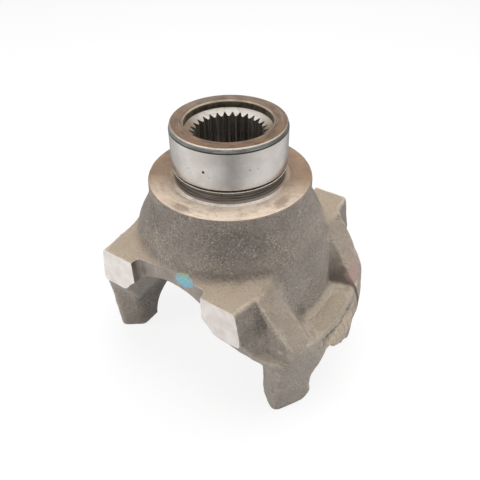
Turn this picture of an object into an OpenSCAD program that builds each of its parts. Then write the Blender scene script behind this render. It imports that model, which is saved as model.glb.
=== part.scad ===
// Half-round end yoke for a heavy driveshaft, in millimetres.
// One closed-die steel forging, machined on the hub, the spline, the lug faces and the cup seats.
// The origin is the joint centre: Z is the hub's axis, X is the axis of the bearing cups
// and Y is the direction in which the mating yoke swings. The four prong ends lie at Z = 0.

/* [Hub] */
// Height from the prong ends to the hub's top face
overall_h = 180; // [170:1:195]
// Diameter of the ground seal track
seal_d = 76.2; // [72:0.1:80]
// Length of the ground seal track
seal_len = 24.3; // [18:0.1:26]
// Height of the lead-in taper above the seal track
lead_h = 3.4; // [1:0.1:5]
// Inward step of the lead-in taper, on the radius
lead_in = 0.9; // [0.3:0.1:2]
// Height of the thin groove under the seal track
groove_h = 1.1; // [0.6:0.1:2]
// Depth of the thin groove, on the radius
groove_d = 1.3; // [0.5:0.1:2]
// Height of the narrow land under the groove
land_h = 1.6; // [1:0.1:3]
// Inward step of the land, on the radius
land_in = 0.4; // [0.1:0.1:1]
// Height of the turned undercut above its root fillet
undercut_h = 6.1; // [3:0.1:8]
// Depth of the turned undercut, on the radius
undercut_d = 1.6; // [0.5:0.1:3]
// Radius of the fillet at the root of the hub
root_r = 2; // [1:0.1:4]

/* [Bore] */
// Diameter of the pilot counterbore in the hub's top face
pilot_d = 56.8; // [54:0.1:60]
// Depth of the pilot counterbore
pilot_depth = 5.1; // [3:0.1:8]
// Chamfer at the mouth of the pilot counterbore
pilot_chamfer = 1; // [0.3:0.1:2]
// Number of spline teeth
teeth = 30; // [24:1:36]
// Pitch diameter of the spline
pitch_d = 47.6; // [44:0.1:50]
// Height of a tooth inside the pitch circle
tooth_in = 1.3; // [0.8:0.1:1.6]
// Depth of a tooth space outside the pitch circle
tooth_out = 1.4; // [0.8:0.1:1.6]
// Slope of the conical lead-in to the spline, from level
spline_lead = 30; // [20:1:45]
// Diameter of the recess for the shaft nut
nut_d = 70; // [62:0.5:76]
// Depth of the nut recess above the crown of the arch
nut_depth = 3; // [1:0.5:6]

/* [Bell] */
// Diameter of the turned collar face at the foot of the hub
collar_d = 109; // [100:0.5:112]
// Rounding of the collar's edge
collar_edge = 0.8; // [0.3:0.1:2]
// Drop from the collar face to the neck, where the bell starts to flare
neck_drop = 13; // [8:0.1:16]
// Diameter of the bell at the neck
neck_d = 110; // [104:0.1:114]
// Rounding of the bell at the neck
neck_r = 18; // [10:1:24]
// Height of the bell's shoulder above the joint centre
shoulder_z = 110; // [107:0.5:114]
// Diameter of the bell at the shoulder
shoulder_d = 129; // [124:0.2:134]
// Rounding of the bell at the shoulder
shoulder_r = 24; // [10:1:30]
// Diameter of the barrel at its foot, inside the ledges
barrel_d = 149; // [144:0.5:154]

/* [Wings] */
// Height of the wings' top face above the joint centre
wing_z = 100; // [97:0.5:101]
// Width over the machined lug faces
lug_w = 146.4; // [142:0.2:150]
// Height of the lower edge of the lug faces
lug_z = 71; // [68:0.5:74]
// Width between the inner edges of a pair of lug faces
lug_gap = 57; // [50:0.5:64]
// Width over the trimmed web between the lugs
web_w = 133.8; // [130:0.2:138]
// Slope of the lugs' underside, from upright
under_slope = 32; // [28:1:36]
// Radius of the fillet between a wing and the bell
wing_r = 10; // [4:0.5:12]
// Radius of the corner between a lug and the web
web_r = 6; // [2:0.5:8]

/* [Ears] */
// Diameter over the ears at the prong ends
ear_d = 185.6; // [182:0.2:188]
// Forging draft on the outside of the ears
ear_draft = 4.5; // [2:0.5:5]
// Half angle of an ear, seen along the hub's axis
ear_half = 37.5; // [35:0.5:39]
// Width of the swing gap at the prong ends
gap_w = 114.6; // [110:0.2:117]
// Height up to which the sides of the swing gap are nearly upright
gap_side_z = 30; // [24:1:34]
// Forging draft on the sides of the swing gap
gap_draft = 3; // [1:0.5:4]
// Height of the arch's crown above the joint centre
arch_z = 92.8; // [90:0.2:94]
// Diameter of the arch at its crown
arch_d = 88; // [80:1:94]
// Diameter of the half-round seats for the bearing cups
seat_d = 60; // [56:0.1:62]
// Length of a machined seat, from the swing gap outwards
seat_len = 27; // [24:0.5:30]
// Diameter of the forged relief outside a seat
relief_d = 72; // [68:0.5:74]
// Height of the relief's axis above the seat's axis
relief_rise = 13; // [10:0.5:14]
// Width of the trimmed flash left at the crown of a relief
flash_w = 26; // [10:1:32]
// Thickness of the trimmed flash
flash_t = 5; // [3:0.5:7]
// Height of the flash's lower edge above the seat's axis
flash_z = 38; // [35:0.5:42]
// Diameter of the tapped holes for the strap bolts
bolt_d = 11.5; // [8:0.1:13]
// Depth of the tapped holes
bolt_depth = 30; // [20:1:36]
// Spacing of the strap bolts across a seat
bolt_y = 84; // [80:0.5:88]
// Spacing of the strap bolts from ear to ear
bolt_x = 148; // [144:0.5:152]

/* [Ribs and ledges] */
// Height of a ledge at its rim
ledge_z = 56; // [53:0.5:58]
// Diameter over the rims of the ledges
ledge_d = 186.6; // [180:0.2:188]
// Slope of a ledge, from level
ledge_slope = 16; // [5:1:20]
// Slope of the chamfer under a ledge's rim, from upright
rim_slope = 20; // [10:1:30]
// Distance from the hub's axis to the top of a rib
rib_x = 57; // [55:0.2:60]
// Slope of a rib's face, from upright
rib_slope = 35; // [32:0.5:38]
// Half width between the ribs, at the foot of the barrel
recess_half = 24.8; // [22:0.2:26]
// Opening angle of a rib's inner wall, seen along the hub's axis
recess_flare = 40; // [34:1:44]
// Lean of a rib's inner wall, from upright
recess_lean = 34.5; // [30:0.5:38]
// Half width over a pair of ribs
rib_half = 55.6; // [52:0.2:58]
// Narrowing of a rib towards its foot, seen along the hub's axis
rib_taper = 12; // [5:1:16]
// Turn of a lug's outer wall, seen along the hub's axis
scoop_turn = 9; // [4:0.5:12]
// Lean of a lug's outer wall, from upright
scoop_lean = 9; // [6:0.5:12]
// Height at which a lug's outer wall meets the floor of its hollow
scoop_z = 55.5; // [53:0.5:60]
// Slope of the floor of the hollow, from level
scoop_floor = 12; // [5:1:25]
// Radius of the curve between the wall and the floor
scoop_r = 13; // [6:1:16]

/* [Hidden] */
$fn = 96;
eps = 0.01;
// Reach of the cutting shapes past the part
past = 60;
seal_r = seal_d / 2;
collar_z = overall_h - lead_h - seal_len - groove_h - land_h - undercut_h - root_r;
neck_z = collar_z - neck_drop;
barrel_r = barrel_d / 2;
ear_r = ear_d / 2;
// Radius of the ears' drafted envelope at the height of the wings
ear_top_r = ear_r + wing_z * tan(ear_draft);
lug_half = lug_w / 2;
gap_half = gap_w / 2;
seat_r = seat_d / 2;
pilot_r = pilot_d / 2;
tip_r = pitch_d / 2 - tooth_in;
space_r = pitch_d / 2 + tooth_out;
nut_z = arch_z + nut_depth;
ledge_r = ledge_d / 2;
// Height at which a ledge meets the barrel
ledge_root_z = ledge_z + (ledge_r - barrel_r) * tan(ledge_slope);
// Points on one rounded corner
corner_steps = 8;

// Unit vector from a to b
function toward(a, b) = (b - a) / norm(b - a);

// The arc that rounds corner b of the path a, b, c with radius r
function corner_arc(a, b, c, r) =
    let (u = toward(b, a), v = toward(b, c))
    let (half = acos(u * v) / 2)
    let (middle = b + (u + v) / norm(u + v) * r / sin(half))
    let (p = b + u * r / tan(half) - middle, q = b + v * r / tan(half) - middle)
    let (start = atan2(p[1], p[0]), turn = atan2(q[1], q[0]) - start)
    let (sweep = turn > 180 ? turn - 360 : turn < -180 ? turn + 360 : turn)
    [for (i = [0 : corner_steps])
        let (angle = start + sweep * i / corner_steps)
        middle + r * [cos(angle), sin(angle)]];

// A closed outline whose corners [x, y, r] are rounded by r, or sharp where r is 0
function rounded(corners) =
    let (count = len(corners))
    let (point = function (i) [corners[(i + count) % count][0], corners[(i + count) % count][1]])
    [for (i = [0 : count - 1])
        each corners[i][2] > 0
            ? corner_arc(point(i - 1), point(i), point(i + 1), corners[i][2])
            : [point(i)]];

// Both sides of a shape that is symmetrical about X = 0
module both_x() {
    children();
    mirror([1, 0, 0])
        children();
}

// The four quarters of a shape that is symmetrical about X = 0 and Y = 0
module four_quarters() {
    both_x() {
        children();
        mirror([0, 1, 0])
            children();
    }
}

// Extrudes an outline drawn in X and Z along Y, over the whole width
module along_y(width) {
    rotate([90, 0, 0])
        linear_extrude(width, center = true)
            children();
}

// Extrudes an outline drawn in Y and Z along X, over the whole width
module along_x(width) {
    rotate([90, 0, 90])
        linear_extrude(width, center = true)
            children();
}

// The hub's outline from the top down: lead-in taper, ground seal track, thin groove, land, undercut, root
function hub_outline() =
    let (undercut_r = seal_r - undercut_d)
    let (groove_top = overall_h - lead_h - seal_len)
    let (land_top = groove_top - groove_h)
    concat(
        [[seal_r - lead_in, overall_h], [seal_r, overall_h - lead_h], [seal_r, groove_top]],
        [[seal_r - groove_d, groove_top], [seal_r - groove_d, land_top]],
        [[seal_r - land_in, land_top], [seal_r - land_in, land_top - land_h]],
        [[undercut_r, land_top - land_h]],
        [for (i = [corner_steps : -1 : 0])
            let (angle = 90 * i / corner_steps)
            [undercut_r + root_r * (1 - sin(angle)), collar_z + root_r * (1 - cos(angle))]]);

// The bell's outline from the collar down: it swells from the neck into the barrel
function bell_outline() = rounded([
    [collar_d / 2, collar_z, collar_edge],
    [neck_d / 2, neck_z, neck_r],
    [shoulder_d / 2, shoulder_z, shoulder_r],
    [barrel_r, ledge_z, 0],
    [0, ledge_z, 0],
    [0, collar_z, 0]]);

// The hub and the bell, one solid of revolution
module turned_body() {
    color("silver")
        rotate_extrude()
            polygon(concat([[0, overall_h]], hub_outline(), bell_outline()));
}

// The plan of the wings' top, which the trimmed web joins on each side
module wing_plan() {
    difference() {
        intersection() {
            square([2 * rib_x, lug_w], center = true);
            circle(r = ear_top_r);
        }
        for (side = [-1, 1])
            translate([0, side * (web_w / 2 + past / 2)])
                square([lug_gap, past], center = true);
    }
}

// The concave fillet that blends the wings' top into the bell
module wing_fillet() {
    foot_r = shoulder_d / 2 + wing_r;
    color("dimgray")
        intersection() {
            rotate_extrude()
                difference() {
                    translate([shoulder_d / 2 - wing_r, wing_z - wing_r])
                        square([2 * wing_r, 2 * wing_r]);
                    translate([foot_r, wing_z + wing_r])
                        circle(r = wing_r);
                }
            translate([0, 0, wing_z - wing_r])
                linear_extrude(3 * wing_r)
                    wing_plan();
        }
}

// The drafted outline of revolution that bounds the ears
module ear_envelope() {
    cylinder(r1 = ear_r, r2 = ear_top_r, h = wing_z);
}

// The forged mass of the wings and the ears, before the hollows are taken out
module ear_blank() {
    slant_z = gap_side_z;
    slant_y = lug_half - (lug_z - slant_z) * tan(under_slope);
    side_view = [
        [-lug_half, wing_z], [-lug_half, lug_z], [-slant_y, slant_z],
        [slant_y, slant_z], [lug_half, lug_z], [lug_half, wing_z]];
    reach = 2 * ear_r;
    ear_sector = [[0, 0], reach * [cos(ear_half), sin(ear_half)], reach * [cos(ear_half), -sin(ear_half)]];
    color("dimgray")
        intersection() {
            ear_envelope();
            union() {
                along_x(2 * reach)
                    polygon(side_view);
                both_x()
                    linear_extrude(lug_z)
                        polygon(ear_sector);
            }
        }
}

// What lies outside the sloping faces of the ribs
module rib_slope_cut() {
    drop = wing_z - ledge_z + past;
    both_x()
        along_y(2 * ear_d)
            polygon([
                [rib_x, wing_z + eps],
                [rib_x + drop * tan(rib_slope), wing_z - drop],
                [rib_x + drop * tan(rib_slope) + past, wing_z - drop],
                [rib_x + drop * tan(rib_slope) + past, wing_z + eps]]);
}

// The plan of the recess between two ribs at height z
module recess_plan(z) {
    near_x = barrel_r - past / 2;
    far_x = ledge_r + past;
    at_barrel = recess_half + (z - ledge_root_z) * tan(recess_lean);
    near_y = max(at_barrel - (barrel_r - near_x) * tan(recess_flare), 1);
    far_y = at_barrel + (far_x - barrel_r) * tan(recess_flare);
    polygon([[near_x, near_y], [far_x, far_y], [far_x, -far_y], [near_x, -near_y]]);
}

// The recess between the ribs, down to the sloping ledge over the cup seat
module recess_cut() {
    both_x()
        intersection() {
            hull()
                for (z = [ledge_z, wing_z + past])
                    translate([0, 0, z])
                        linear_extrude(eps)
                            recess_plan(z);
            along_y(2 * ear_d)
                polygon([
                    [0, ledge_root_z + barrel_r * tan(ledge_slope)],
                    [ledge_r + past, ledge_z - past * tan(ledge_slope)],
                    [ledge_r + past, wing_z + past],
                    [0, wing_z + past]]);
        }
}

// The chamfer from a ledge's rim down to the ears' envelope
module rim_cut() {
    both_x()
        difference() {
            linear_extrude(ledge_z + eps)
                recess_plan(ledge_z);
            cylinder(r1 = ledge_r + ledge_z * tan(rim_slope), r2 = ledge_r, h = ledge_z + 2 * eps);
        }
}

// The hollow forged into each corner, between a lug's outer wall and the side of its rib
module scoop_cut() {
    foot_x = rib_x + (wing_z - scoop_z) * tan(scoop_lean);
    taper_x = rib_x + 10;
    far_x = ear_r + past;
    four_quarters()
        intersection() {
            linear_extrude(2 * wing_z)
                polygon([
                    [0, rib_half],
                    [taper_x, rib_half],
                    [far_x, rib_half - (far_x - taper_x) * tan(rib_taper)],
                    [far_x, lug_half + past],
                    [0, lug_half + past]]);
            translate([rib_x, rib_half, 0])
                rotate([0, 0, scoop_turn])
                    translate([-rib_x, -rib_half, 0])
                        along_y(4 * ear_d)
                            polygon(rounded([
                                [rib_x - past * tan(scoop_lean), wing_z + past, 0],
                                [foot_x, scoop_z, scoop_r],
                                [far_x, scoop_z - (far_x - foot_x) * tan(scoop_floor), 0],
                                [far_x, wing_z + past, 0]]));
        }
}

// The swing gap: drafted sides that run into a round arch
module swing_gap() {
    arch_r = arch_d / 2;
    arch_mid = arch_z - arch_r;
    side = [gap_half - gap_side_z * tan(gap_draft), gap_side_z];
    from_mid = side - [0, arch_mid];
    touch = atan2(from_mid[1], from_mid[0]) + acos(arch_r / norm(from_mid));
    tangent = [arch_r * cos(touch), arch_mid + arch_r * sin(touch)];
    foot = [gap_half + past * tan(gap_draft), -past];
    along_y(2 * ear_d)
        union() {
            translate([0, arch_mid])
                circle(r = arch_r);
            polygon([
                foot, side, tangent,
                [-tangent[0], tangent[1]], [-side[0], side[1]], [-foot[0], foot[1]]]);
        }
}

// The flats where the web between the lugs is trimmed back
module web_cut() {
    half = lug_gap / 2;
    near_y = web_w / 2;
    far_y = near_y + past;
    for (side = [0, 1])
        mirror([0, side, 0])
            linear_extrude(collar_z)
                polygon(rounded([
                    [-half, near_y, web_r], [half, near_y, web_r], [half, far_y, 0], [-half, far_y, 0]]));
}

// The half-round seats for the bearing cups, and the forged relief outside each
module cup_seats() {
    rotate([0, 90, 0])
        cylinder(r = seat_r, h = 2 * ear_d, center = true);
    both_x()
        difference() {
            translate([gap_half + seat_len, 0, relief_rise])
                rotate([0, 90, 0])
                    cylinder(d = relief_d, h = past);
            translate([ledge_r - flash_t, -flash_w / 2, flash_z])
                cube([past, flash_w, past]);
        }
}

// The tapped holes for the bearing strap bolts, one in each prong
module bolt_holes() {
    for (x = [-1, 1], y = [-1, 1])
        translate([x * bolt_x / 2, y * bolt_y / 2, -eps])
            cylinder(d = bolt_d, h = bolt_depth);
}

// The outline of the splined bore
module spline_outline() {
    pitch = 360 / teeth;
    space_half = pitch * 0.075;
    tip_half = pitch * 0.37;
    polygon([for (i = [0 : teeth - 1])
        each [
            tip_r * [cos(i * pitch - tip_half), sin(i * pitch - tip_half)],
            space_r * [cos(i * pitch - space_half), sin(i * pitch - space_half)],
            space_r * [cos(i * pitch + space_half), sin(i * pitch + space_half)],
            tip_r * [cos(i * pitch + tip_half), sin(i * pitch + tip_half)]]]);
}

// Everything cut along the hub's axis: pilot, conical lead-in, spline, chamfer and nut recess
module bore_cut() {
    pilot_z = overall_h - pilot_depth;
    cone_r = tip_r - 2;
    cone_h = (pilot_r - cone_r) * tan(spline_lead);
    mouth_r = space_r + 0.5;
    translate([0, 0, arch_z - past])
        linear_extrude(pilot_z - arch_z + past)
            spline_outline();
    translate([0, 0, pilot_z])
        cylinder(r = pilot_r, h = pilot_depth + 1);
    translate([0, 0, overall_h - pilot_chamfer])
        cylinder(r1 = pilot_r, r2 = pilot_r + 2 * pilot_chamfer, h = 2 * pilot_chamfer);
    translate([0, 0, pilot_z - cone_h])
        cylinder(r1 = cone_r, r2 = pilot_r, h = cone_h);
    translate([0, 0, nut_z - past])
        cylinder(d = nut_d, h = past);
    translate([0, 0, nut_z])
        cylinder(r1 = mouth_r, r2 = cone_r, h = mouth_r - cone_r);
}

// The finished yoke
module end_yoke() {
    difference() {
        union() {
            difference() {
                ear_blank();
                rib_slope_cut();
                recess_cut();
                rim_cut();
                scoop_cut();
            }
            wing_fillet();
            turned_body();
        }
        web_cut();
        swing_gap();
        cup_seats();
        bolt_holes();
        bore_cut();
    }
}

end_yoke();
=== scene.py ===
import math

import bpy
import numpy as np
from mathutils import Matrix, Vector


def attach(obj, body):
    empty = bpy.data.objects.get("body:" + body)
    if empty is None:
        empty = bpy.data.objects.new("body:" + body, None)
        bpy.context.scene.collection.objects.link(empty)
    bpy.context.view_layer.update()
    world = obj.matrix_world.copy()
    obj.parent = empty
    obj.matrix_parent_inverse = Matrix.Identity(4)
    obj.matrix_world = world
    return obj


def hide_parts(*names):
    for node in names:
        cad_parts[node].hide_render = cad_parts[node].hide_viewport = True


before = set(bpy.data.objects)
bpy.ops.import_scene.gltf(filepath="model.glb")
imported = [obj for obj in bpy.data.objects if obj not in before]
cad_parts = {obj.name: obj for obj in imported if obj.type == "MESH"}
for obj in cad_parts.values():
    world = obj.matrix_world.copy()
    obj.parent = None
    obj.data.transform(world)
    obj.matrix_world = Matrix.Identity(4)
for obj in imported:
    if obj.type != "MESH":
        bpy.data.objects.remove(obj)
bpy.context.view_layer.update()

# The raw forging
# One closed-die forging in medium-carbon steel: a bell with two wings, two ears and four ribs, drafted and
# rounded by its dies, trimmed of its flash and grit-blasted. Its skin is worked out as a distance in
# millimetres, negative inside, so that every blend has its own radius, and is then meshed.

MM = 0.001

# Heights above the joint centre: the wing tops, the foot of the lug faces, the foot of the slope under them,
# the ledges at their rim, the collar and the hub's end.
TOP_Z, LUG_Z, SLANT_Z, LEDGE_Z, COLLAR_Z, HUB_Z = 100.0, 71.0, 30.0, 56.0, 141.5, 180.0
# Distances from the hub's axis: the lug faces, the ears' outside, the ledges' rim, and the corner from which
# each rib leans out.
LUG_Y, EAR_R, LEDGE_R, RIB_X, RIB_Y = 73.2, 92.8, 93.3, 57.0, 55.6
# Stock left for the machining, and the spacing of the net that the skin is meshed with.
STOCK = 4.0
NET_STEP = 1.35


def sin_cos_tan(degrees):
    angle = math.radians(degrees)
    return math.sin(angle), math.cos(angle), math.tan(angle)


def soft_max(a, b, blend):
    """The larger of two distances, with the corner between them rounded over that width in millimetres."""
    overlap = np.maximum(blend - np.abs(a - b), 0) / blend
    return np.maximum(a, b) + overlap * overlap * blend / 4


def soft_min(a, b, blend):
    return -soft_max(-a, -b, blend)


def blank_distance(x, y, z, radius):
    """The wings and ears before the hollows: drafted outside, sloping under the lugs."""
    slope, prong_lean, ear_draft, rib_lean = 32, 37.5, 4.5, 35
    prong_off = 1.2
    s, c, _ = sin_cos_tan(slope)
    lug = soft_max(y - LUG_Y - STOCK, (y - LUG_Y) * c - (z - LUG_Z) * s, 3)
    wing = soft_max(lug, SLANT_Z - z, 4)
    s, c, _ = sin_cos_tan(prong_lean)
    prong = soft_max(y * c - x * s - prong_off, z - LUG_Z, 5)
    _, c, t = sin_cos_tan(ear_draft)
    outside = (radius - EAR_R - z * t) * c
    blank = soft_max(soft_min(wing, prong, 4), outside, 7)
    s, c, _ = sin_cos_tan(rib_lean)
    rib_face = (x - RIB_X) * c + (z - TOP_Z) * s
    blank = soft_max(blank, rib_face, 4)
    return soft_max(soft_max(blank, z - TOP_Z, 3), -STOCK - z, 1)


def recess_distance(x, y, z, radius):
    """The pocket between two ribs, down to a sloping ledge with a shallow sunk plate."""
    wall_lean, wall_flare, ledge_slope, rim_draft = 34.5, 40, 16, 20
    foot_half, half, at_x, at_z = 21.8, 24.8, 74.5, 61.4
    plate_in, plate_out, plate_margin, plate_depth, plate_soft = 77.5, 91.2, 2.5, 1.3, 2
    lean, flare = sin_cos_tan(wall_lean)[2], sin_cos_tan(wall_flare)[2]
    half = half + (z - at_z) * lean + (x - at_x) * flare
    wall = (y - half) / math.sqrt(1 + lean * lean + flare * flare)
    foot = foot_half + (x - at_x) * flare
    inside = np.minimum(np.minimum(radius - plate_in, plate_out - radius), foot - plate_margin - y)
    plate = np.clip(inside / plate_soft, 0, 1)
    _, c, t = sin_cos_tan(ledge_slope)
    ledge = (LEDGE_Z + (LEDGE_R - x) * t - plate_depth * plate * plate * (3 - 2 * plate) - z) * c
    _, c, t = sin_cos_tan(rim_draft)
    rim = (LEDGE_R + (LEDGE_Z - z) * t - radius) * c
    return soft_min(soft_max(wall, ledge, 3.5), soft_max(wall, rim, 2), 0.6)


def hollow_distance(x, y, z):
    """The hollow between a lug's outer wall and the side of its rib."""
    lean, fall, floor_z, flare_x = 9, 12, 55.5, 67
    s, c, t = sin_cos_tan(lean)
    out = (x - RIB_X) * c + (y - RIB_Y) * s
    wall = ((TOP_Z - z) * t - out) * c
    foot = (TOP_Z - floor_z) * t
    _, c, t = sin_cos_tan(fall)
    floor = (floor_z - (out - foot) * t - z) * c
    side = (RIB_Y - np.maximum(x - flare_x, 0) * t - y) * c
    return soft_max(soft_max(wall, floor, 5), side, 3)


def bell_distance(radius, z):
    """The bell of revolution: neck under the collar, shoulder, barrel, and the stock for the hub on top."""
    corner_z, corner_r = [40, 56, 110, 128.5, 150], [77, 74.5, 64.5, 55, 54.2]
    rounding, half_steps, wall_cos, hub_stock_r = 6.5, 16, 0.97, 44
    heights = np.arange(40, 150, 0.5)
    outline = np.interp(heights, corner_z, corner_r)
    weight = np.exp(-((np.arange(-half_steps, half_steps + 1) / rounding) ** 2))
    outline = np.convolve(np.pad(outline, half_steps, mode="edge"), weight / weight.sum(), mode="valid")
    bell = (radius - np.interp(z, heights, outline)) * wall_cos
    bell = soft_max(soft_max(bell, z - COLLAR_Z - STOCK, 1), LEDGE_Z - z, 1)
    return np.minimum(bell, np.maximum(radius - hub_stock_r, np.maximum(z - HUB_Z - STOCK, COLLAR_Z - z)))


def gap_distance(x, z):
    """The swing gap: drafted sides that run into a round arch."""
    arch_z, arch_r = 48.8, 44
    arch = np.hypot(x, z - arch_z) - arch_r
    foot, side, tangent = (57.3, 0.0), (55.73, SLANT_Z), (41.5, 63.4)
    planes = []
    for a, b in ((foot, side), (side, tangent)):
        run, rise = b[0] - a[0], b[1] - a[1]
        planes.append(((x - a[0]) * rise - (z - a[1]) * run) / math.hypot(run, rise))
    sides = np.maximum(np.maximum(planes[0], planes[1]), z - tangent[1])
    return soft_min(arch, sides, 2)


def scale_noise(x, y, z):
    """Slow unevenness of a forged skin: a sum of waves in seeded directions."""
    random = np.random.default_rng(7)
    depth, deeper_when_long = 0.0085, 0.6
    total = np.zeros_like(x)
    for length in (34, 29, 23, 19, 15, 13, 11, 9.5, 8, 7, 6, 5.2):
        for _ in range(2):
            way = random.normal(size=3)
            way *= 2 * math.pi / length / np.linalg.norm(way)
            phase = random.uniform(0, 2 * math.pi)
            total += np.sin(x * way[0] + y * way[1] + z * way[2] + phase) * length ** deeper_when_long
    return total * depth


def trimmed_flash(across, z, radius):
    """The torn lower edge of the flash under a ledge, and the streaks and crack of its sheared face."""
    edge_at, edge_z = [-24, -14, -8, -2, 4, 9, 15, 22], [48, 40, 34.5, 32, 30, 33.5, 35.5, 44]
    face_r, face_top, face_foot, face_half, crack_z, crack_width = 90.5, 54.6, 29, 27, 50.5, 0.8
    edge = np.interp(across, edge_at, edge_z) + 0.6 * np.sin(across * 0.8 + 0.4)
    face = np.clip((radius - face_r) / 2, 0, 1) * np.clip((face_top - z) / 0.8, 0, 1)
    face = face * np.clip((z - face_foot) / 3, 0, 1) * np.clip((face_half - np.abs(across)) / 4, 0, 1)
    streaks = np.sin(across * 1.1 + z * 0.15) + 0.7 * np.sin(across * 2.0 - z * 0.2 + 1)
    off_crack = z - crack_z - 0.9 * np.sin(across * 0.5) - 0.08 * across
    crack = np.exp(-((off_crack / crack_width) ** 2))
    return edge, face * (0.2 * streaks + 0.9 * crack + 0.4)


def forging_distance(px, py, pz):
    """The whole forging. The hollow under each ledge is an arch with straight sides and cut corners."""
    arch_z, arch_r, arch_foot, side_slope, corner_cut, arch_x = 16.4, 32.5, 28.3, 0.2, 32.3, 84.3
    flash_x, seat_stock_r, skin = 88.3, 28, 0.15
    # What a slope is multiplied with, so that its distance is true: the cosine of its angle.
    side_cos, cut_cos, flash_cos = 0.98, 0.707, 0.7
    recess_round, hollow_round, gap_round, arch_round, cut_round, flash_round = 1.6, 2.2, 2, 2, 4, 3
    foot_round = 2.5 + 4.5 * np.clip((pz - 70) / 20, 0, 1)
    x, y, z = np.abs(px), np.abs(py), pz
    radius = np.hypot(x, y)
    body = blank_distance(x, y, z, radius)
    body = soft_max(body, -recess_distance(x, y, z, radius), recess_round)
    body = soft_max(body, -hollow_distance(x, y, z), hollow_round)
    body = soft_min(body, bell_distance(radius, z), foot_round)
    body = soft_max(body, -gap_distance(x, z), gap_round)
    torn_edge, torn_face = trimmed_flash(py * np.sign(px), z, radius)
    side = (y - arch_foot - side_slope * z) * side_cos
    arch = soft_max(np.hypot(y, z - arch_z) - arch_r, side, arch_round)
    arch = soft_min(arch, (y + z - corner_cut) * cut_cos, cut_round)
    relief = soft_max(arch, arch_x - x, arch_round)
    flash = np.maximum(torn_edge - z, flash_x - x) * flash_cos
    body = soft_max(body, -np.maximum(relief, -flash), flash_round)
    body = soft_max(body, seat_stock_r - np.hypot(y, z), 1)
    return body + torn_face + scale_noise(px, py, pz) + skin


def surface_net(field, low, step):
    """Points and outward quads of the surface field = 0 on a regular grid."""
    inside = field < 0
    cells = np.array(field.shape) - 1
    corners = [(i, j, k) for i in (0, 1) for j in (0, 1) for k in (0, 1)]

    def at(values, corner):
        return values[tuple(slice(c, c + n) for c, n in zip(corner, cells))]

    count = sum(at(inside, corner).astype(np.int8) for corner in corners)
    mixed = (count > 0) & (count < 8)
    place = np.argwhere(mixed)
    number = np.full(mixed.shape, -1)
    number[mixed] = np.arange(len(place))
    total, hits = np.zeros((len(place), 3)), np.zeros(len(place))
    for start in corners:
        for axis in range(3):
            if start[axis]:
                continue
            end = tuple(1 if i == axis else c for i, c in enumerate(start))
            a, b = at(field, start)[mixed], at(field, end)[mixed]
            crossed = (a < 0) != (b < 0)
            total[crossed] += start
            total[crossed, axis] += a[crossed] / (a[crossed] - b[crossed])
            hits += crossed
    points = low + (place + total / hits[:, None]) * step
    quads = []
    for axis in range(3):
        u, v = np.eye(3, dtype=int)[(axis + 1) % 3], np.eye(3, dtype=int)[(axis + 2) % 3]
        first = np.take(inside, range(cells[axis]), axis)
        second = np.take(inside, range(1, cells[axis] + 1), axis)
        for rising in (True, False):
            edge = np.argwhere((first == rising) & (second != rising))
            around = [number[tuple((edge - step_back).T)] for step_back in (u + v, v, 0 * u, u)]
            quads.append(np.stack(around if rising else around[::-1], axis=1))
    return points, np.concatenate(quads)


def drawn_to_surface(points):
    """Moves the points onto the exact surface along its slope."""
    probe, most, least_slope = 0.05, 0.5, 0.3
    for _ in range(3):
        value = forging_distance(*points.T)
        slope = np.stack([
            forging_distance(*(points + shift).T) - forging_distance(*(points - shift).T)
            for shift in np.eye(3) * probe], axis=1) / (2 * probe)
        move = value / np.maximum((slope * slope).sum(axis=1), least_slope)
        points = points - slope * np.clip(move, -most, most)[:, None]
    return points


def mesh_object(name, points, faces, materials, face_slots=None):
    """A mesh from points in millimetres. Each face has its material's slot, or else the first one."""
    mesh = bpy.data.meshes.new(name)
    mesh.from_pydata((np.asarray(points) * MM).tolist(), [], [list(map(int, face)) for face in faces])
    for material in materials:
        mesh.materials.append(material)
    if face_slots is not None:
        mesh.polygons.foreach_set("material_index", face_slots)
    made = bpy.data.objects.new(name, mesh)
    bpy.context.scene.collection.objects.link(made)
    return made


def linear(code):
    """A colour from its sRGB hex value."""
    parts = [int(code[i:i + 2], 16) / 255 for i in (0, 2, 4)]
    return [p / 12.92 if p <= 0.04045 else ((p + 0.055) / 1.055) ** 2.4 for p in parts] + [1.0]


def add(tree, kind, inputs=(), out=0, **settings):
    """Adds a node with its settings, values and links, and returns one of its outputs."""
    made = tree.nodes.new("ShaderNode" + kind)
    for name, value in settings.items():
        setattr(made, name, value)
    for name, value in (inputs.items() if isinstance(inputs, dict) else enumerate(inputs)):
        if isinstance(value, bpy.types.NodeSocket):
            tree.links.new(value, made.inputs[name])
        else:
            made.inputs[name].default_value = linear(value) if isinstance(value, str) else value
    return made.outputs[out] if made.outputs else made


def new_material(name):
    material = bpy.data.materials.new(name)
    material.use_nodes = True
    tree = material.node_tree
    tree.nodes.clear()
    return material, tree, add(tree, "TexCoord", out="Object")


def stained(tree, colour, stain, *shares):
    """The colour with a stain over it, as strong as the product of its shares."""
    amount = shares[0]
    for share in shares[1:]:
        amount = add(tree, "Math", (amount, share), operation="MULTIPLY")
    return add(tree, "Mix", {0: amount, 6: colour, 7: stain}, 2, data_type="RGBA")


def patchy(tree, place, size_mm, low, high, least=0.0, most=1.0, detail=3.0, rough=0.55):
    """Patches of that size: least where the noise is under low, most where it is over high."""
    spread = {"Vector": place, "Scale": 1 / (size_mm * MM), "Detail": detail, "Roughness": rough}
    return add(tree, "MapRange", (add(tree, "TexNoise", spread), low, high, least, most))


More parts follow.
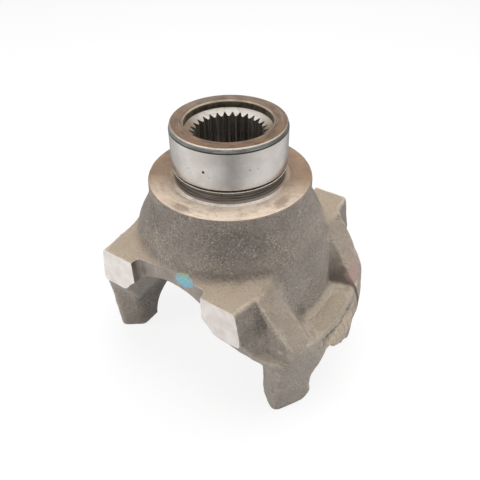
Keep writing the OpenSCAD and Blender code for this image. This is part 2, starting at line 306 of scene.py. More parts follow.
def near(tree, place, centre_mm, size_mm, ragged_mm, soft=0.06):
    """1 inside a ragged blot of that size round a point, 0 outside."""
    offset = add(tree, "VectorMath", (place, [c * MM for c in centre_mm]), operation="SUBTRACT")
    scaled = add(tree, "VectorMath", (offset, [1 / (s * MM) for s in size_mm]), operation="MULTIPLY")
    length = add(tree, "VectorMath", (scaled,), "Value", operation="LENGTH")
    edge = patchy(tree, place, ragged_mm, 0.0, 1.0, 0.6, 1.4)
    return add(tree, "MapRange", (add(tree, "Math", (edge, length), operation="SUBTRACT"), 0.0, soft))


def paint_dab(tree, place, colour):
    """The blue-green paint mark on the near web, thin and greener at its top edge."""
    dab = near(tree, place, (10.8, -66.9, 99.9), (6.6, 4.5, 5.2), 3.2)
    wave = patchy(tree, place, 3, 0.0, 1.0, 0.0, 8 * MM)
    height = add(tree, "Math", (add(tree, "SeparateXYZ", (place,), "Z"), wave), operation="ADD")
    top = add(tree, "MapRange", (height, 104.5 * MM, 107.5 * MM))
    paint = stained(tree, "67B9CE", "82AFD0", patchy(tree, place, 4, 0.5, 0.62))
    paint = stained(tree, paint, "93AE8C", top)
    worn = patchy(tree, place, 1.3, 0.5, 0.64, 0.92, 0.2, detail=4)
    return stained(tree, colour, paint, dab, worn)


def forged_skin():
    """Forged medium-carbon steel, grit-blasted: a dull grey brown, tan where it faces up, with light specks
    of grit and dark pits, edges rubbed pale and lit by a painted highlight, and painted shade in its corners
    and on its undersides."""
    material, tree, place = new_material("forged_steel_grit_blasted")
    surface = add(tree, "NewGeometry").node.outputs
    facing_up = add(tree, "SeparateXYZ", (surface["Normal"],), "Z")
    height = add(tree, "SeparateXYZ", (place,), "Z")
    # All four quarters of the forging wear alike, so most marks are placed once, in the first quarter.
    quarter = add(tree, "VectorMath", (place,), operation="ABSOLUTE")

    colour = stained(tree, "756C65", "877D74", patchy(tree, place, 22, 0.35, 0.65))
    colour = stained(tree, colour, "968C82", patchy(tree, place, 4, 0.3, 0.75, 0, 0.5, detail=5))
    # Tan where the skin faces up, below the bell.
    level = add(tree, "MapRange", (facing_up, 0.22, 0.8))
    below_bell = add(tree, "MapRange", (height, 122 * MM, 104 * MM))
    facing_up_tan = add(tree, "Math", (level, below_bell), operation="MULTIPLY")
    colour = stained(tree, colour, "A0917E", facing_up_tan, 0.8)
    # Painted shade: concave corners, found by low pointiness, are darkened.
    corner = add(tree, "MapRange", (surface["Pointiness"], 0.49, 0.45, 0, 0.25))
    colour = stained(tree, colour, "4A4139", corner)
    # Convex edges lighter: partly rubbed pale, partly a painted highlight.
    edge = add(tree, "MapRange", (surface["Pointiness"], 0.508, 0.535, 0, 0.66))
    colour = stained(tree, colour, "BDB09F", edge)
    # Painted shade: faces that turn downward are darkened, as if out of the light.
    painted_underside_shade = add(tree, "MapRange", (facing_up, -0.1, -0.6, 0, 0.45))
    colour = stained(tree, colour, "4A433F", painted_underside_shade)
    prongs = add(tree, "MapRange", (height, 74 * MM, 58 * MM, 0, 0.38))
    colour = stained(tree, colour, "A79D92", prongs)
    # Blots in the first quarter: a painted pool of light on each hollow's floor; painted shade in the recess
    # corner at the foot of its wall; darker scale together with painted shade on the bell under the collar;
    # painted shade on the inner walls of the swing gap; a lighter patch on the bell beside the recess.
    for centre, size, ragged, amount, shade in (
        ((69, 54, 65), (12, 9, 20), 6, 0.5, "B8AEA2"),
        ((70, 22, 66), (9, 9, 8), 8, 0.5, "4F463E"),
        ((40, 48, 124), (34, 24, 17), 16, 0.45, "5E5751"),
        ((56, 30, 24), (7, 34, 46), 20, 0.62, "4A433F"),
        ((64, 24, 84), (18, 24, 26), 14, 0.3, "A89F95"),
    ):
        colour = stained(tree, colour, shade, near(tree, quarter, centre, size, ragged, 0.5), amount)

    # The ledge: its sunk plate, the torn flash below the rim, and the crack along that flash.
    plate = near(tree, quarter, (84.5, 0, 60), (7.5, 27, 6), 7)
    colour = stained(tree, colour, "857663", plate, 0.5)
    torn = near(tree, quarter, (91.5, 0, 42), (4.5, 26, 9), 4)
    colour = stained(tree, colour, "B5A48E", torn, 0.7)
    drop = add(tree, "VectorMath", (quarter, (0.0, 0.08, -1.0)), "Value", operation="DOT_PRODUCT")
    drop = add(tree, "Math", (drop, patchy(tree, place, 6, 0.0, 1.0, 0.0, 6 * MM)), operation="ADD")
    off_crack = add(tree, "Math", (drop, 47.5 * MM), operation="ADD")
    off_crack = add(tree, "Math", (off_crack,), operation="ABSOLUTE")
    crack = add(tree, "MapRange", (off_crack, 0.7 * MM, 0.3 * MM))
    colour = stained(tree, colour, "4A4036", near(tree, quarter, (92, 0, 50), (4, 25, 8), 4), crack, 0.75)

    # The ledge's rim, rubbed bright in places and lit by a painted highlight: a line where the sloping ledge
    # meets the ear's outside.
    flat = add(tree, "VectorMath", (place, (1, 1, 0)), operation="MULTIPLY")
    radius = add(tree, "VectorMath", (flat,), "Value", operation="LENGTH")
    off_ledge = add(tree, "VectorMath", (quarter, (0.287, 0, 1)), "Value", operation="DOT_PRODUCT")
    off_rim = add(tree, "CombineXYZ", (
        add(tree, "Math", (off_ledge, 82.6 * MM), operation="SUBTRACT"),
        add(tree, "Math", (radius, 92.5 * MM), operation="SUBTRACT")))
    off_rim = add(tree, "VectorMath", (off_rim,), "Value", operation="LENGTH")
    rim = add(tree, "MapRange", (off_rim, 1.6 * MM, 0.4 * MM))
    colour = stained(tree, colour, "DDCFBB", rim, patchy(tree, place, 5, 0.3, 0.65, 0.05, 0.8, detail=4))

    # Light specks of grit and dark pits, a little fainter where the skin is tan and faces up. Real grit is
    # finer than the render can show, so both are drawn about 1.2 mm wide.
    less_light = add(tree, "MapRange", (facing_up_tan, 0.2, 0.9, 1, 0.6))
    less_dark = add(tree, "MapRange", (facing_up_tan, 0.2, 0.9, 1, 0.5))
    spread = {"Vector": place, "Scale": 1 / (1.15 * MM), "Detail": 2, "Roughness": 0.6}
    grit = add(tree, "TexNoise", spread)
    speck = add(tree, "MapRange", (grit, 0.53, 0.66))
    patches = patchy(tree, place, 14, 0.38, 0.62, 0.12, 0.8)
    colour = stained(tree, colour, "C6BAAA", speck, patches, less_light, 0.75)
    pit = patchy(tree, place, 1.25, 0.47, 0.34, rough=0.6)
    pit = add(tree, "Math", (pit, less_dark), operation="MULTIPLY")
    colour = stained(tree, colour, "4A433E", pit, 0.45)

    # A dark line down the far wall of each recess, on the plane that recess_distance cuts: painted shade in
    # that concave corner, with old oil.
    wall_way, wall_at = (-0.5685, 0.6775, -0.4656), 54.1 * MM
    off_wall = add(tree, "VectorMath", (quarter, wall_way), "Value", operation="DOT_PRODUCT")
    off_wall = add(tree, "Math", (off_wall, wall_at), operation="ADD")
    outer = add(tree, "MapRange", (off_wall, -2.2 * MM, -0.8 * MM))
    inner = add(tree, "MapRange", (off_wall, 0.7 * MM, 0.2 * MM))
    fading = add(tree, "MapRange", (height, 90 * MM, 64 * MM, 0, 0.92))
    far_side = add(tree, "MapRange", (add(tree, "SeparateXYZ", (place,), "Y"), 4 * MM, 12 * MM))
    colour = stained(tree, colour, "463C35", outer, inner, fading, far_side)

    colour = paint_dab(tree, place, colour)
    # The far rib is darker than the rest, with a pinkish stain on its outer face.
    colour = stained(tree, colour, "857B71", near(tree, place, (66, 62, 80), (16, 16, 30), 12, 0.5), 0.35)
    colour = stained(tree, colour, "A5827B", near(tree, place, (82.5, 38, 64), (9, 10, 9), 5, 0.5), 0.55)

    spread = {"Vector": place, "Scale": 1 / (5 * MM), "Detail": 4, "Roughness": 0.55}
    bump = add(tree, "Bump", {"Height": add(tree, "TexNoise", spread), "Distance": 0.6 * MM})
    bump = add(tree, "Bump", {"Height": grit, "Distance": 0.45 * MM, "Normal": bump})
    bump = add(tree, "Bump", {"Height": pit, "Distance": -0.25 * MM, "Normal": bump})
    shader = add(tree, "BsdfPrincipled", {
        "Base Color": colour, "Roughness": patchy(tree, place, 3, 0.3, 0.7, 0.5, 0.68), "Metallic": 0.15,
        "Normal": bump})
    add(tree, "OutputMaterial", {"Surface": shader})
    return material


forged = forged_skin()

grid_low = np.array([-100.0, -80.0, -7.0])
grid_high = np.array([100.0, 80.0, HUB_Z + STOCK + 3])
axes = [np.arange(a, b, NET_STEP) for a, b in zip(grid_low, grid_high)]
field = forging_distance(*np.meshgrid(*axes, indexing="ij"))
net_points, net_quads = surface_net(field, grid_low, NET_STEP)
yoke = mesh_object("end_yoke_forging", drawn_to_surface(net_points), net_quads, [forged])

# The turned hub and collar
# The lathe turns the end face, the seal track with its groove, the undercut and the collar out of the raw
# forging, and the track is then ground for the oil seal. Each line of the profile keeps its tool's finish.


def lathe(name, outline, steps=180, centre=(0, 0)):
    """A closed solid of revolution. Its outline holds points (radius, z), each with the finish of the line
    that starts there."""
    points, rings = [], []
    for (radius, z), _ in outline:
        if radius == 0:
            rings.append([len(points)] * steps)
            points.append((centre[0], centre[1], z))
            continue
        rings.append(range(len(points), len(points) + steps))
        angles = np.arange(steps) * 2 * math.pi / steps
        points += [(centre[0] + radius * math.cos(a), centre[1] + radius * math.sin(a), z) for a in angles]
    finishes = [finish for _, finish in outline]
    slots = list(dict.fromkeys(finishes))
    faces, face_slots = [], []
    for i, ring in enumerate(rings):
        other = rings[(i + 1) % len(rings)]
        for j in range(steps):
            k = (j + 1) % steps
            face = list(dict.fromkeys((ring[j], ring[k], other[k], other[j])))
            if len(face) > 2:
                faces.append(face)
                face_slots.append(slots.index(finishes[i]))
    return mesh_object(name, points, faces, slots, face_slots)


def cut(piece, tool):
    """Takes the tool's solid out of the piece. The tool's finish stays on the cut."""
    bpy.context.view_layer.update()
    change = piece.modifiers.new("cut", "BOOLEAN")
    change.operation = "DIFFERENCE"
    change.object = tool
    change.solver = "MANIFOLD"
    change.material_mode = "TRANSFER"
    result = bpy.data.meshes.new_from_object(piece.evaluated_get(bpy.context.evaluated_depsgraph_get()))
    piece.modifiers.clear()
    piece.data = result
    bpy.data.objects.remove(tool)


def swirl(tree, place, along_mm, across_mm, low, high, most):
    """Streaks drawn out round the hub's axis, as the lathe tool and a wiping cloth leave a film."""
    track_r = 38
    flat = add(tree, "VectorMath", (place, (1, 1, 0)), operation="MULTIPLY")
    way = add(tree, "VectorMath", (flat,), operation="NORMALIZE")
    out = add(tree, "VectorMath", (flat,), "Value", operation="LENGTH")
    down = add(tree, "Math", (out, add(tree, "SeparateXYZ", (place,), "Z")), operation="SUBTRACT")
    down = add(tree, "Math", (down, across_mm * MM), operation="DIVIDE")
    turns = add(tree, "VectorMath", (way, [track_r / along_mm] * 3), operation="MULTIPLY")
    vector = add(tree, "VectorMath", (turns, add(tree, "CombineXYZ", {"Z": down})), operation="ADD")
    streaks = add(tree, "TexNoise", {"Vector": vector, "Scale": 1.0, "Detail": 4.0})
    return add(tree, "MapRange", (streaks, low, high, 0, most))


def turned_steel(name, colour, stain, roughness, amount, metallic=0.85, painted_reflection_by_side=None, streaked=0, smudges=()):
    """Turned steel: fine rings round the hub's axis that catch the light, under a film of light rust or oil.
    Real feed marks are too fine to show, so these rings stand 0.9 mm apart. A side with a painted reflection,
    lighter or darker, is given by its colour, the direction it faces, and where it starts and is full."""
    material, tree, place = new_material(name)
    marks = add(tree, "TexWave", {
        "Vector": place, "Scale": 1 / (0.9 * MM), "Distortion": 1.2, "Detail": 2.0, "Detail Scale": 2.0,
    }, "Fac", wave_type="RINGS", rings_direction="Z")
    tint = stained(tree, colour, stain, patchy(tree, place, 13, 0.4, 0.66, detail=4), amount)
    if painted_reflection_by_side:
        shade, side, start, full = painted_reflection_by_side
        way = add(tree, "VectorMath", (place, (1, 1, 0)), operation="MULTIPLY")
        way = add(tree, "VectorMath", (way,), operation="NORMALIZE")
        facing = add(tree, "VectorMath", (way, side), "Value", operation="DOT_PRODUCT")
        # Painted reflection: the colour changes towards the side that faces that direction.
        tint = stained(tree, tint, shade, add(tree, "MapRange", (facing, start, full)))
        tint = stained(tree, tint, stain, patchy(tree, place, 5, 0.52, 0.66, 0, 0.3, 5, 0.65))
    for centre, size in smudges:
        tint = stained(tree, tint, "86705F", near(tree, place, centre, size, 3, 0.5), 0.7)
    tint = stained(tree, tint, stain, swirl(tree, place, 11, 2.4, 0.5, 0.66, streaked))
    tint = stained(tree, tint, "B8A085", swirl(tree, place, 16, 1.2, 0.55, 0.7, streaked * 0.45))
    tint = stained(tree, tint, "6B5443", patchy(tree, place, 2.2, 0.6, 0.72, 0, 0.4, detail=4))
    tint = stained(tree, tint, "EDE4D8", marks, 0.12)
    shader = add(tree, "BsdfPrincipled", {
        "Base Color": tint, "Roughness": patchy(tree, place, 6, 0.3, 0.7, roughness - 0.06, roughness + 0.1),
        "Metallic": metallic, "Normal": add(tree, "Bump", {"Height": marks, "Distance": 0.006 * MM})})
    add(tree, "OutputMaterial", {"Surface": shader})
    return material


def ground_steel():
    """Ground steel: a near mirror with the finest of rings, and a few black specks of rust. The grinding
    marks are finer than the render shows, so they are drawn 25 mm long and 0.25 mm high."""
    material, tree, place = new_material("ground_steel_seal_track")
    stretched = add(tree, "Mapping", {"Vector": place, "Scale": [1 / (mm * MM) for mm in (25, 25, 0.25)]})
    marks = add(tree, "TexNoise", {"Vector": stretched, "Scale": 1.0, "Detail": 3.0})
    colour = stained(tree, "CAC5C0", "BAB4AE", patchy(tree, place, 18, 0.4, 0.6))
    for centre, size in (
        ((7.6, -37.3, 163.3), 0.9), ((-3.3, -37.9, 163.0), 0.35), ((-5.2, -37.7, 164.6), 0.3),
        ((31, -22.2, 165.2), 0.45), ((33.7, -17.7, 164.6), 0.35), ((11.2, -36.4, 160.2), 0.3),
        ((30.2, -23.2, 167), 0.25), ((-1.5, -38, 160.6), 0.25),
    ):
        colour = stained(tree, colour, "2A211B", near(tree, place, centre, (size, size, size), 0.5))
    shader = add(tree, "BsdfPrincipled", {
        "Base Color": colour, "Roughness": patchy(tree, place, 5, 0.3, 0.7, 0.17, 0.26), "Metallic": 1.0,
        "Normal": add(tree, "Bump", {"Height": marks, "Distance": 0.003 * MM})})
    add(tree, "OutputMaterial", {"Surface": shader})
    return material


def plain_steel(name, light, dark, size_mm, roughness, metallic):
    """Steel with soft patches of two shades and the faint grain of its tool."""
    material, tree, place = new_material(name)
    colour = stained(tree, light, dark, patchy(tree, place, size_mm, 0.35, 0.65, detail=4))
    rough = patchy(tree, place, size_mm * 0.6, 0.3, 0.7, roughness - 0.07, roughness + 0.07)
    grain = add(tree, "TexNoise", {"Vector": place, "Scale": 1 / (0.4 * MM), "Detail": 2, "Roughness": 0.55})
    shader = add(tree, "BsdfPrincipled", {
        "Base Color": colour, "Roughness": rough, "Metallic": metallic,
        "Normal": add(tree, "Bump", {"Height": grain, "Distance": 0.01 * MM})})
    add(tree, "OutputMaterial", {"Surface": shader})
    return material


def streaked_steel(name, light, dark, across_mm, upright_mm, roughness):
    """Oil-dark steel with the streaks that the tool left: rings round the hub, or lines along it."""
    material, tree, place = new_material(name)
    sizes = (across_mm, across_mm, upright_mm)
    stretched = add(tree, "Mapping", {"Vector": place, "Scale": [1 / (mm * MM) for mm in sizes]})
    streaks = add(tree, "TexNoise", {"Vector": stretched, "Scale": 1.0, "Detail": 2.0})
    shader = add(tree, "BsdfPrincipled", {
        "Base Color": stained(tree, dark, light, add(tree, "MapRange", (streaks, 0.42, 0.6))),
        "Roughness": roughness, "Metallic": 0.8,
        "Normal": add(tree, "Bump", {"Height": streaks, "Distance": 0.02 * MM})})
    add(tree, "OutputMaterial", {"Surface": shader})
    return material


FRONT, BACK, RIGHT = (0.5, -0.866, 0), (-0.5, 0.866, 0), (0.966, 0.26, 0)
# Turned steel, rusted: the brown end face, with darker streaks round it.
turned_top = turned_steel("turned_steel_hub_face", "77593D", "4B2F1E", 0.34, 0.6, streaked=0.9)
# Turned steel: the thin rim of that face, with a painted highlight in front.
rim_steel = turned_steel(
    "turned_steel_hub_rim", "84705F", "64503F", 0.3, 0.5, painted_reflection_by_side=("DCD3C8", FRONT, 0.1, 0.9), streaked=0.45)
# Oxidised steel: the blue-grey lead taper for the seal, with painted shade that makes it almost black at the
# right.
taper = turned_steel(
    "oxidised_steel_taper", "767A76", "4A4947", 0.3, 0.9, 0.9, ("33373A", RIGHT, 0.85, 0.97), 0.9)
# Steel under old oil and dirt, with painted shade: the black lines in the grooves.
oil_and_shade_black = plain_steel("groove_black_oil_and_painted_shade", "2A2623", "1C1917", 2, 0.6, 0.1)
ground = ground_steel()
# Freshly turned steel: the bright thin edges beside the groove.
bright = turned_steel("turned_steel_bright", "D4CEC6", "B8AEA2", 0.28, 0.4)
# Turned steel, grey and even: the narrow land under the groove.
land = plain_steel("turned_steel_land", "6E6A66", "55514D", 4, 0.3, 0.9)
# Dark oxide on steel: the undercut, with grey rings.
oxide = streaked_steel("dark_oxide_undercut", "7E7D7B", "434240", 33.3, 0.769, 0.36)
# Turned steel, rusted brown: the start of the root fillet.
root_steel = turned_steel("turned_steel_root", "84705D", "5C4735", 0.4, 0.6, 0.4)
# Turned steel: the soft light ring where the fillet runs out on the collar, pale in front by a painted
# highlight.
root_ring = turned_steel(
    "turned_steel_root_ring", "98826D", "7C6651", 0.5, 0.5, 0.3, ("FFF6EC", FRONT, 0.35, 0.8), 0.3)
# Turned steel under a thin even rust: the collar, brown behind and light tan in front by a painted
# reflection, with two smudges.
turned_collar = turned_steel(
    "turned_steel_collar", "82684F", "634833", 0.5, 0.7, 0.35, ("E6D3BF", FRONT, 0.1, 0.9), 0.25,
    [((-1, -50, 141.5), (10, 4.5, 3)), ((46.5, -10, 141.5), (4, 10, 3))])
# Turned steel, dull grey brown: the collar's chamfer.
collar_edge = turned_steel("turned_steel_collar_chamfer", "7A6C5E", "5E5044", 0.5, 0.6, 0.3)

# The profile is that of the steel which comes off: out over the end face, down the hub's side, out over the
# collar, and back outside the forging.
TRACK_R, GROOVE_R, UNDERCUT_R = 38.1, 36.8, 36.5
FILLET_R, FILLET_X = 2.3, 38.8
COLLAR_EDGE_R, COLLAR_R, COLLAR_FOOT_Z = 54.1, 57.1, 138.5
fillet = [
    (FILLET_X - FILLET_R * math.cos(a), COLLAR_Z + FILLET_R - FILLET_R * math.sin(a))
    for a in np.radians(range(0, 91, 15))]
hub_side = [
    ((0, 200), forged), ((0, HUB_Z), turned_top), ((36.5, HUB_Z), rim_steel), ((37.0, 179.85), rim_steel),
    ((37.3, 179.4), taper), ((37.9, 177.4), oil_and_shade_black), ((TRACK_R, 176.6), ground), ((TRACK_R, 152.2), bright),
    ((37.8, 151.8), oil_and_shade_black), ((GROOVE_R, 151.8), oil_and_shade_black), ((GROOVE_R, 150.1), bright), ((37.4, 150.1), bright),
    ((37.7, 149.8), land), ((37.7, 148.3), oil_and_shade_black), ((UNDERCUT_R, 148.3), oil_and_shade_black), ((UNDERCUT_R, 147.8), oxide)]
hub_side += zip(fillet, [oxide] * 2 + [root_steel] * 2 + [root_ring] * 3)
hub_side += [
    ((40.1, COLLAR_Z), turned_collar), ((COLLAR_EDGE_R, COLLAR_Z), collar_edge),
    ((COLLAR_R, COLLAR_FOOT_Z), forged), ((90, COLLAR_FOOT_Z), forged), ((90, 200), forged)]
cut(yoke, lathe("hub_turning", hub_side))

# The pilot bore
# A short smooth bore that centres the hub on its shaft, with a chamfer at the mouth and a cone that leads
# down to the spline. All three are bored on the lathe in the forging's own steel.

# Turned steel under a brown rust film: the cone, with a painted bright reflection at the back.
cone = turned_steel(
    "turned_steel_bore_cone", "85725C", "7E6C58", 0.32, 0.5, painted_reflection_by_side=("D8D2CA", BACK, 0.2, 0.75))
# Bored steel under brown oil: the pilot's wall.
pilot = plain_steel("oiled_steel_pilot", "6A6152", "4A4338", 4, 0.35, 0.7)
# Turned steel, fairly clean: the light line of the mouth's chamfer.
mouth = turned_steel("turned_steel_mouth_chamfer", "B9AC9A", "7D6854", 0.3, 0.8)

PILOT_R = 28.4
bore = [
    ((0, 190), forged), ((0, 170.3), cone), ((20.5, 170.34), cone), ((PILOT_R, 174.9), pilot),
    ((PILOT_R, 179.1), mouth), ((28.65, 179.6), mouth), ((29.15, HUB_Z), forged), ((39.15, 190), forged)]
cut(yoke, lathe("pilot_boring", bore))

# The spline
# Thirty inside teeth that drive the shaft, broached through the hub in one pass. The steel is dark with oil,
# and the broach has left light lines along the teeth.


def prism(name, outline, low, high, material):
    """A straight solid along Z over an outline in X and Y, in one finish."""
    count = len(outline)
    points = [(x, y, z) for z in (low, high) for x, y in outline]
    faces = [list(range(count))[::-1], list(range(count, 2 * count))]
    faces += [[i, (i + 1) % count, (i + 1) % count + count, i + count] for i in range(count)]
    return mesh_object(name, points, faces, [material])


# Broached steel under oil: bright and dark lines that run along the hub.
spline_oil = streaked_steel("oiled_steel_spline", "C8C3BC", "8A847D", 1.923, 111, 0.26)

TEETH, TIP_R, PITCH_R, SPACE_R = 30, 22.5, 23.8, 25.2
SPLINE_LOW, SPLINE_HIGH = 70, 173.5
# Each tooth space is drawn from tip to tip, in parts of a tooth's share of the turn.
tooth = []
for i in range(TEETH):
    for radius, part in (
        (TIP_R, -0.37), (TIP_R + 0.5, -0.31), (PITCH_R, -0.2), (SPACE_R - 0.4, -0.11), (SPACE_R, -0.05),
        (SPACE_R, 0.05), (SPACE_R - 0.4, 0.11), (PITCH_R, 0.2), (TIP_R + 0.5, 0.31), (TIP_R, 0.37),
    ):
        turn = 2 * math.pi * (i + part) / TEETH
        tooth.append((radius * math.cos(turn), radius * math.sin(turn)))
cut(yoke, prism("spline_broach", tooth, SPLINE_LOW, SPLINE_HIGH, spline_oil))

# The nut recess
# A round recess inside the bell, where the nut that holds the yoke on its shaft goes. It is bored from
# below, with a chamfer up to the spline.

# Bored steel: an even light grey with a satin shine.
bored = plain_steel("bored_steel_seat", "B9B4AE", "A39C95", 9, 0.33, 0.9)

NUT_R, NUT_SEAT_Z = 35, 95.8
nut = [
    ((0, 40), bored), ((NUT_R, 40), bored), ((NUT_R, NUT_SEAT_Z), bored), ((25.7, NUT_SEAT_Z), bright),
    ((20.5, 101), bright), ((0, 101), bright)]
cut(yoke, lathe("nut_recess", nut))

# The web flats
# The flat bridges between the lugs on both sides, sheared by the trimming die that takes the flash off.
# Each has a rounded corner where it meets a lug.


def sheared_steel():
    """Sheared steel: darker and smoother than the skin, with faint upright lines where the die dragged, and
    painted shade on the faces that turn sideways.
    """
    material, tree, place = new_material("sheared_steel_web")
    colour = stained(tree, "857C75", "9A9189", patchy(tree, place, 9, 0.35, 0.65, detail=4))
    colour = stained(tree, colour, "A89E92", patchy(tree, place, 1.3, 0.6, 0.72, 0, 0.5))
    # Painted shade: the more a face turns towards X, the darker it is drawn.
    across = add(tree, "SeparateXYZ", (add(tree, "NewGeometry", out="Normal"),), "X")
    across = add(tree, "Math", (across,), operation="ABSOLUTE")
    colour = stained(tree, colour, "5A5048", add(tree, "MapRange", (across, 0.25, 1.0, 0, 0.7)))
    stretched = add(tree, "Mapping", {"Vector": place, "Scale": [1 / (mm * MM) for mm in (1.43, 1.43, 16.7)]})
    drag = add(tree, "TexNoise", {"Vector": stretched, "Scale": 1.0, "Detail": 3.0})
    colour = stained(tree, colour, "6B625B", add(tree, "MapRange", (drag, 0.5, 0.68, 0, 0.3)))
    shader = add(tree, "BsdfPrincipled", {
        "Base Color": paint_dab(tree, place, colour), "Roughness": 0.46, "Metallic": 0.5,
        "Normal": add(tree, "Bump", {"Height": drag, "Distance": 0.12 * MM})})
    add(tree, "OutputMaterial", {"Surface": shader})
    return material


trimmed = sheared_steel()

WEB_Y, WEB_HALF, WEB_CORNER_R = 66.9, 28.5, 4
# The die reaches past the forging on all sides.
DIE_Y, DIE_LOW, DIE_HIGH = 90, 50, 130
web_corner = [
    (WEB_HALF - WEB_CORNER_R + WEB_CORNER_R * math.cos(a), WEB_Y + WEB_CORNER_R - WEB_CORNER_R * math.sin(a))
    for a in np.radians(range(0, 91, 15))]
web = [(WEB_HALF, DIE_Y)] + web_corner + [(-x, y) for x, y in web_corner[::-1]] + [(-WEB_HALF, DIE_Y)]
cut(yoke, prism("web_trim_near", [(x, -y) for x, y in web], DIE_LOW, DIE_HIGH, trimmed))
cut(yoke, prism("web_trim_far", web[::-1], DIE_LOW, DIE_HIGH, trimmed))

# The lug faces and prong ends
# The flat outer faces of the four lugs and the ends of the four prongs, milled in the forging's own steel.
# The prong ends lie in the plane of the joint's centre, and the yoke stands on them.

# Milled steel: a pale, faintly pink matt grey that stands out from the brown skin.
milled = plain_steel("milled_steel_lug", "E4DDD8", "D3CAC5", 9, 0.5, 0.4)

# The cutter reaches past the forging on all sides.
MILL_X, MILL_Y, MILL_LOW, MILL_HIGH, MILL_BELOW = 120, 100, 20, 130, -20
for side in (-1, 1):
    low, high = sorted((side * LUG_Y, side * MILL_Y))
    face = [(-MILL_X, low), (MILL_X, low), (MILL_X, high), (-MILL_X, high)]
    cut(yoke, prism("lug_mill", face, MILL_LOW, MILL_HIGH, milled))
ends = [(-MILL_X, -MILL_Y), (MILL_X, -MILL_Y), (MILL_X, MILL_Y), (-MILL_X, MILL_Y)]
cut(yoke, prism("prong_mill", ends, MILL_BELOW, 0, milled))

# The cup seats
# A half-round seat in each ear for a bearing cup of the joint's cross. Both are bored in one pass along X,
# up to the flash that is left outside them.

SEAT_R, SEAT_REACH = 30, 84.3
seat = lathe("seat_bore", [
    ((0, -SEAT_REACH), bored), ((SEAT_R, -SEAT_REACH), bored), ((SEAT_R, SEAT_REACH), bored),
    ((0, SEAT_REACH), bored)], 128)
seat.data.transform(Matrix.Rotation(math.pi / 2, 4, "Y"))
cut(yoke, seat)

# The strap bolt holes
# Four blind holes up into the prongs, drilled and tapped for the bolts of the straps that hold the cups. The
# thread is drawn as separate rings. With them the forging is finished and stands for its node.

BOLT_X, BOLT_Y = 74, 42
DRILL_R, CREST_R, THREAD, RINGS = 5.75, 6.3, 1.954, 12
hole = [((0, -2), bored), ((7.4, -2), bored), ((7.4, 0), bored), ((DRILL_R, 1.65), bored)]
for i in range(RINGS):
    hole += [((DRILL_R, 2.2 + i * THREAD), bored), ((CREST_R, 2.2 + (i + 0.5) * THREAD), bored)]
hole += [((DRILL_R, 27), bored), ((DRILL_R, 30), bored), ((0, 33), bored)]
for x in (-BOLT_X, BOLT_X):
    for y in (-BOLT_Y, BOLT_Y):
        cut(yoke, lathe("strap_bolt_tap", hole, 48, (x, y)))

yoke.data.shade_smooth()
yoke.data.set_sharp_from_angle(angle=math.radians(32))
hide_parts("end_yoke")
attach(yoke, "root")

# The floor and the lights
# A pale studio floor that shows as plain white and keeps a soft shadow, a large panel overhead and two
# smaller ones at the sides. The world is dim for the forging's light and white for what it mirrors.


def shown_white(tree, share):
    """That share for the camera, for reflections and for rays through glass, 0 for light on the object."""
    path = add(tree, "LightPath").node.outputs
    seen = add(tree, "Math", (path["Is Glossy Ray"], path["Is Transmission Ray"]), operation="MAXIMUM")
    seen = add(tree, "Math", (path["Is Camera Ray"], seen), operation="MAXIMUM")
    return add(tree, "Math", (seen, share), operation="MULTIPLY")


floor_material, tree, _ = new_material("studio_floor_matt_white")
matt = add(tree, "BsdfDiffuse", {"Color": "EEEEED"})
glow = add(tree, "Emission", {"Color": "FFFFFF", "Strength": 1.0})
add(tree, "OutputMaterial", {"Surface": add(tree, "MixShader", (shown_white(tree, 0.86), matt, glow))})
FLOOR = 4000
floor_corners = [(-FLOOR, -FLOOR, 0), (FLOOR, -FLOOR, 0), (FLOOR, FLOOR, 0), (-FLOOR, FLOOR, 0)]
floor = mesh_object("studio_floor", floor_corners, [(0, 1, 2, 3)], [floor_material])

world = bpy.data.worlds.new("studio")
world.use_nodes = True
bpy.context.scene.world = world
tree = world.node_tree
tree.nodes.clear()
dim = add(tree, "Background", {"Color": "E8E8E8", "Strength": 0.25})
white = add(tree, "Background", {"Color": "FFFFFF", "Strength": 1.0})
add(tree, "OutputWorld", {"Surface": add(tree, "MixShader", (shown_white(tree, 1.0), dim, white))})


def panel(name, place, target, size, power):
    """A soft light panel, sizes in metres and power in watts, that no surface mirrors."""
    light = bpy.data.lights.new(name, "AREA")
    light.shape = "RECTANGLE"
    light.size, light.size_y = size
    light.energy = power
    made = bpy.data.objects.new(name, light)
    made.location = place
    made.rotation_euler = (Vector(target) - Vector(place)).to_track_quat("-Z", "Y").to_euler()
    made.visible_glossy = False
    bpy.context.scene.collection.objects.link(made)


panel("overhead_panel", (0.0, 0.22, 1.15), (0, 0, 0.1), (1.1, 0.9), 18.3)
panel("left_panel", (-0.8, -0.7, 0.5), (0, 0, 0.1), (0.5, 0.6), 6.5)
panel("right_panel", (0.9, -0.3, 0.3), (0, 0, 0.04), (0.5, 0.4), 1.6)

# The reflector ring
# A glowing ring round the hub that shows only in what steel mirrors: two soft white sides with a darker gap
# where the camera stands. It gives the seal track its upright bands.

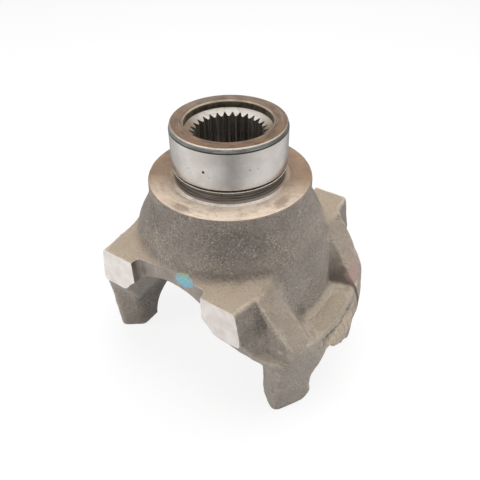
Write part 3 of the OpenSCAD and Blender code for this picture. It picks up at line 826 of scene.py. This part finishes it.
RING_R, RING_LOW, RING_HIGH, CAMERA_AT = 150, 8, 165, -53.6
around = np.radians(np.arange(0, 361, 5))
off_camera = (np.degrees(around) - CAMERA_AT + 180) % 360 - 180
camera_gap = 0.13 * np.exp(-(((off_camera - 5) / 16) ** 2))
left_side = 0.82 * np.exp(-(((off_camera + 64) / 58) ** 2))
right_side = 0.66 * np.exp(-(((off_camera - 68) / 52) ** 4))
ring_glow = 0.35 - camera_gap + left_side + right_side
ring_points = [
    (RING_R * math.cos(a), RING_R * math.sin(a), z) for z in (RING_LOW, RING_HIGH) for a in around]
count = len(around)
ring_faces = [(i, i + 1, i + 1 + count, i + count) for i in range(count - 1)]
ring_material, tree, _ = new_material("studio_reflector_ring")
ring_light = add(tree, "Emission", {"Strength": add(tree, "Attribute", out="Fac", attribute_name="glow")})
add(tree, "OutputMaterial", {"Surface": ring_light})
ring = mesh_object("studio_reflector", ring_points, ring_faces, [ring_material])
ring.data.attributes.new("glow", "FLOAT", "POINT").data.foreach_set("value", np.tile(ring_glow, 2))
ring.visible_camera = ring.visible_shadow = ring.visible_diffuse = ring.visible_transmission = False

# The camera
# It stands where the photograph was taken from: 38.8 degrees above the horizontal, turned about 36 degrees,
# and near enough to show perspective.

EYE = Vector((187.52, -254.35, 337.24)) * MM
pitch, yaw, roll, swing = (math.radians(a) for a in (38.77, 1.071, -0.904, 36.4))
forward = Vector((math.sin(yaw) * math.cos(pitch), math.cos(yaw) * math.cos(pitch), -math.sin(pitch)))
level = Vector((math.cos(yaw), -math.sin(yaw), 0))
upright = level.cross(forward)
right = math.cos(roll) * level + math.sin(roll) * upright
up = math.cos(roll) * upright - math.sin(roll) * level
swung = Matrix.Rotation(swing, 3, "Z")
camera_data = bpy.data.cameras.new("camera")
camera_data.lens = 41.47
camera_data.sensor_width = 36
camera_data.clip_start = 0.01
camera = bpy.data.objects.new("camera", camera_data)
turned = Matrix((swung @ right, swung @ up, swung @ -forward)).transposed()
camera.matrix_world = Matrix.Translation(EYE) @ turned.to_4x4()
bpy.context.scene.collection.objects.link(camera)
bpy.context.scene.camera = camera
bpy.context.scene.view_settings.view_transform = "Standard"
